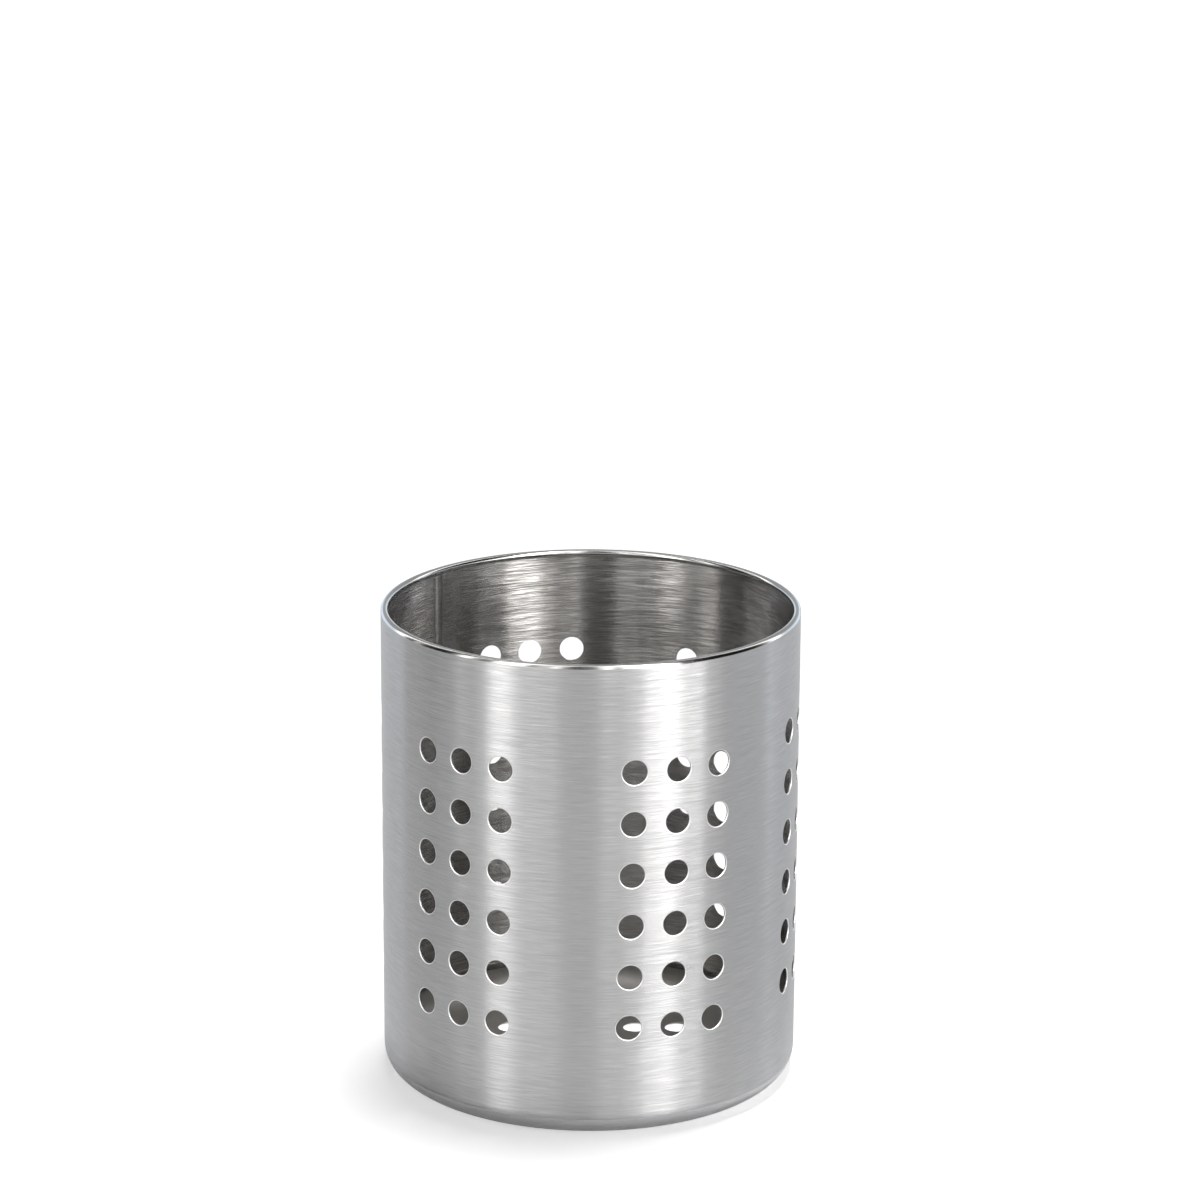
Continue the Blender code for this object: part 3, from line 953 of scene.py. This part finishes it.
cameraValues = {
    "place": (0.0, -1.2061, 0.4900), "pitch": 16.046, "yaw": -0.005, "roll": 0.246, "lens": 134.15,
    "sensorWidth": 36.0, "farEnd": 50.0,
}


def makeCamera(values):
    pitch, yaw, roll = (math.radians(values[name]) for name in ("pitch", "yaw", "roll"))
    ahead = Vector((math.sin(yaw) * math.cos(pitch), math.cos(yaw) * math.cos(pitch), -math.sin(pitch)))
    right = Vector((math.cos(yaw), -math.sin(yaw), 0.0))
    up = right.cross(ahead)
    across = right * math.cos(roll) + up * math.sin(roll)
    upward = up * math.cos(roll) - right * math.sin(roll)
    data = bpy.data.cameras.new("studioCamera")
    data.lens = values["lens"]
    data.sensor_width = values["sensorWidth"]
    data.clip_end = values["farEnd"]
    camera = bpy.data.objects.new("studioCamera", data)
    scene.collection.objects.link(camera)
    turn = Matrix((across, upward, -ahead)).transposed().to_4x4()
    camera.matrix_world = Matrix.Translation(values["place"]) @ turn
    scene.camera = camera


makeCamera(cameraValues)


# Studio: a pale floor, a key lamp almost overhead, a little behind and to the right, and a dome of
# pale cards on black, which only the metal sees

floorValues = {
    "halfSize": 8.0, "height": -0.0001, "color": (0.85, 0.85, 0.85), "roughness": 0.9,
    "glow": 0.53, "glossGlow": 0.07,        # as the camera sees it, and as the metal does
    # painted light: the floor glows brighter in a disc under the holder, against the holder's shadow, so it shows
    # white through the holes and the shadow by the foot is lighter, most on the right
    "underGlow": 1.0, "underMiddle": (0.005, 0.0, 0.0), "underRadius": 0.044, "underEdge": 0.012,
}


def seenByCameraOrGloss(tree):
    path = addNode(tree, "ShaderNodeLightPath")
    seen = compute(tree, "MAXIMUM", path.outputs["Is Camera Ray"], path.outputs["Is Glossy Ray"])
    return compute(tree, "MAXIMUM", seen, path.outputs["Is Transmission Ray"])


def makeFloor(values):
    size, height = values["halfSize"], values["height"]
    corners = [(x * size, y * size, height) for x, y in ((-1, -1), (1, -1), (1, 1), (-1, 1))]
    floor = meshPiece("studioFloor", corners, [(0, 1, 2, 3)], [0])
    material, tree, shader = newMaterial("paleFloor")
    fill(tree, shader, {
        "Base Color": (*values["color"], 1.0), "Roughness": values["roughness"], "Specular IOR Level": 0.0,
        "Emission Color": (1.0, 1.0, 1.0, 1.0)})
    place = addNode(tree, "ShaderNodeTexCoord").outputs["Object"]
    away = addNode(tree, "ShaderNodeVectorMath", {
        0: place, 1: values["underMiddle"]}, operation="DISTANCE").outputs["Value"]
    path = addNode(tree, "ShaderNodeLightPath").outputs
    isCamera = path["Is Camera Ray"]
    around = ramp(tree, isCamera, 0.0, 1.0, values["glossGlow"], values["glow"])
    # painted light: a brighter disc of floor under the holder, where its shadow falls
    under = ramp(tree, isCamera, 0.0, 1.0, values["glossGlow"], values["underGlow"])
    underEnd = values["underRadius"] + values["underEdge"]
    glow = ramp(tree, away, values["underRadius"], underEnd, under, around)
    fill(tree, shader, {"Emission Strength": compute(tree, "MULTIPLY", glow, seenByCameraOrGloss(tree))})
    floor.data.materials.append(material)


makeFloor(floorValues)

domeValues = {
    "radius": 1.6, "columns": 360, "rows": 45, "lowest": -1.0,
    # Each card: direction, half width and soft edge in degrees, brightness near the horizon and higher
    # up. The outside of the wall mirrors what is low, the inside what is high.
    "cards": (
        (175, 67, 8, 1.4, 0.5),         # a pale wall behind
        (0, 62, 6, 1.4, 0.1),          # a pale wall in front
        (88, 24, 6, 1.1, 0.0),
        (-79, 9, 4, 0.38, 0.0),
        (-66, 6, 6, 0.9, 0.0),
        (-49, 6, 9, 4.0, 0.0),          # bright strips, which make the two main highlights
        (-34, 10, 8, 1.0, 0.0),
        (50, 12, 8, 4.4, 0.0),
        (20, 5, 8, 0.5, 0.0),
        (65, 7, 8, 1.2, 0.0),
        (39, 10, 5, 0.0, 12.5),         # narrow ones high up, which only the inside shows
        (22, 2, 3, 0.0, 3.2),
        (10, 4, 4, 0.0, 2.8),
        (-21, 3, 5, 0.0, 3.0),
        (-30, 2, 4, 0.0, 1.4),
        (-48, 8, 8, 0.0, 4.6),
        (-75, 3, 6, 0.0, 4.2),
        (-108, 2, 3, 0.0, 1.5),
        (-124, 4, 3, 0.0, 3.4),
        (119, 5, 8, 0.0, 2.8),
    ),
    "highFrom": 12.0, "highTo": 20.0, "cardTop": 76.0, "edge": 6.0, "ceiling": 1.0,
    "warm": (1.015, 1.0, 0.978), "cool": (0.80, 0.92, 1.07), "coolFrom": 55.0, "coolTo": 130.0,
}


def easedShare(value, low, high):
    share = min(1.0, max(0.0, (value - low) / (high - low)))
    return share * share * (3 - 2 * share)


def domeLight(values, angle, height):
    highShare = easedShare(height, values["highFrom"], values["highTo"])
    light = 0.0
    for direction, halfWidth, edge, low, high in values["cards"]:
        away = abs((angle - direction + 180) % 360 - 180)
        share = 1 - easedShare(away, halfWidth - edge / 2, halfWidth + edge / 2)
        light += share * (low + (high - low) * highShare)
    ceilingShare = easedShare(height, values["cardTop"], values["cardTop"] + values["edge"])
    light += (values["ceiling"] - light) * ceilingShare
    coolShare = easedShare(abs(angle), values["coolFrom"], values["coolTo"]) * (1 - highShare)
    tint = [warm + (cool - warm) * coolShare for warm, cool in zip(values["warm"], values["cool"])]
    return [light * part for part in tint] + [1.0]


def makeDome(values):
    corners, faces, lights = [], [], []
    columns, rows = values["columns"], values["rows"]
    for row in range(rows + 1):
        height = values["lowest"] + (90 - values["lowest"]) * row / rows
        for column in range(columns):
            angle = -180 + 360 * column / columns
            turn, tilt = math.radians(angle), math.radians(height)
            flat = values["radius"] * math.cos(tilt)
            corners.append((flat * math.sin(turn), -flat * math.cos(turn), values["radius"] * math.sin(tilt)))
            lights += domeLight(values, angle, height)
    for row in range(rows):
        for column in range(columns):
            after = (column + 1) % columns
            low, high = row * columns, (row + 1) * columns
            faces.append((low + after, low + column, high + column, high + after))
    dome = meshPiece("studioCards", corners, faces, [0] * len(faces))
    dome.data.attributes.new("light", "FLOAT_COLOR", "POINT").data.foreach_set("color", lights)
    material = bpy.data.materials.new("studioCards")
    material.use_nodes = True
    tree = material.node_tree
    tree.nodes.clear()
    light = addNode(tree, "ShaderNodeAttribute", attribute_name="light")
    glow = addNode(tree, "ShaderNodeEmission", {"Color": light.outputs["Color"], "Strength": 1.0})
    addNode(tree, "ShaderNodeOutputMaterial", {"Surface": glow.outputs[0]})
    dome.data.materials.append(material)
    dome.data.shade_smooth()
    for ray in ("camera", "diffuse", "shadow", "transmission"):
        setattr(dome, "visible_" + ray, False)


makeDome(domeValues)

lightValues = {
    "key": 2.0, "keyAngle": 149.0, "keyHeight": 82.0, "keySoftness": 14.0, "fill": 0.03,
}


def makeLights(values):
    data = bpy.data.lights.new("keyLamp", "SUN")
    data.energy = values["key"]
    data.angle = math.radians(values["keySoftness"])
    lamp = bpy.data.objects.new("keyLamp", data)
    scene.collection.objects.link(lamp)
    turn, tilt = math.radians(values["keyAngle"]), math.radians(values["keyHeight"])
    away = Vector((math.cos(tilt) * math.sin(turn), -math.cos(tilt) * math.cos(turn), math.sin(tilt)))
    lamp.rotation_euler = away.to_track_quat("Z", "Y").to_euler()
    lamp.visible_glossy = False
    world = bpy.data.worlds.new("studioWorld")
    scene.world = world
    world.use_nodes = True
    tree = world.node_tree
    fill(tree, tree.nodes["Background"], {
        "Color": (1.0, 1.0, 1.0, 1.0),
        "Strength": ramp(tree, seenByCameraOrGloss(tree), 0.0, 1.0, values["fill"], 1.0)})
    scene.view_settings.view_transform = "Standard"


makeLights(lightValues)
print("studio set")
